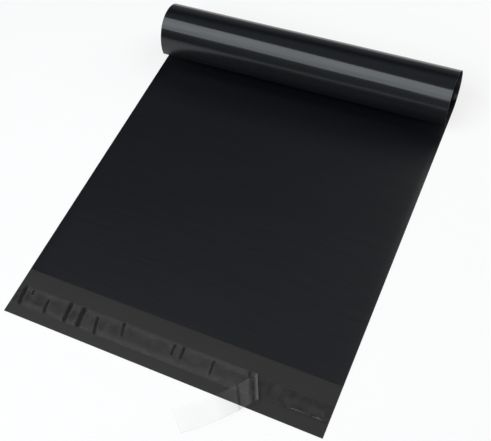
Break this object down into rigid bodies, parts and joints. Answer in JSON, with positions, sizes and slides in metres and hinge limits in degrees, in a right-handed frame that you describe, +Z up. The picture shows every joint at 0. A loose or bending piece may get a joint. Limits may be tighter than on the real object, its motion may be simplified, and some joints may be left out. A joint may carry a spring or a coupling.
{
  "type": "poly mailer bag",
  "caption": "Flat black plastic mailing bag with an adhesive lip under a clear peel-off liner, its far end curled over into an open roll.",
  "frame": {"origin": "on the underside, in the middle of the stretch that lies flat, halfway across the bag", "axes": "+X across the bag to the right as seen from the lip, +Y along the bag from the lip to the curl, +Z up"},
  "size_m": [0.254, 0.34, 0.0404],
  "materials": {
    "black_film": "black outside and grey inside polyethylene film with a soft satin gloss",
    "hot_melt": "clear tacky hot melt over grey film, wet gloss",
    "clear_liner": "thin clear release film, creased"
  },
  "bodies": {
    "root": {"mailer_film": "black_film", "adhesive_strip": "hot_melt", "release_liner": "clear_liner"}
  },
  "joints": []
}
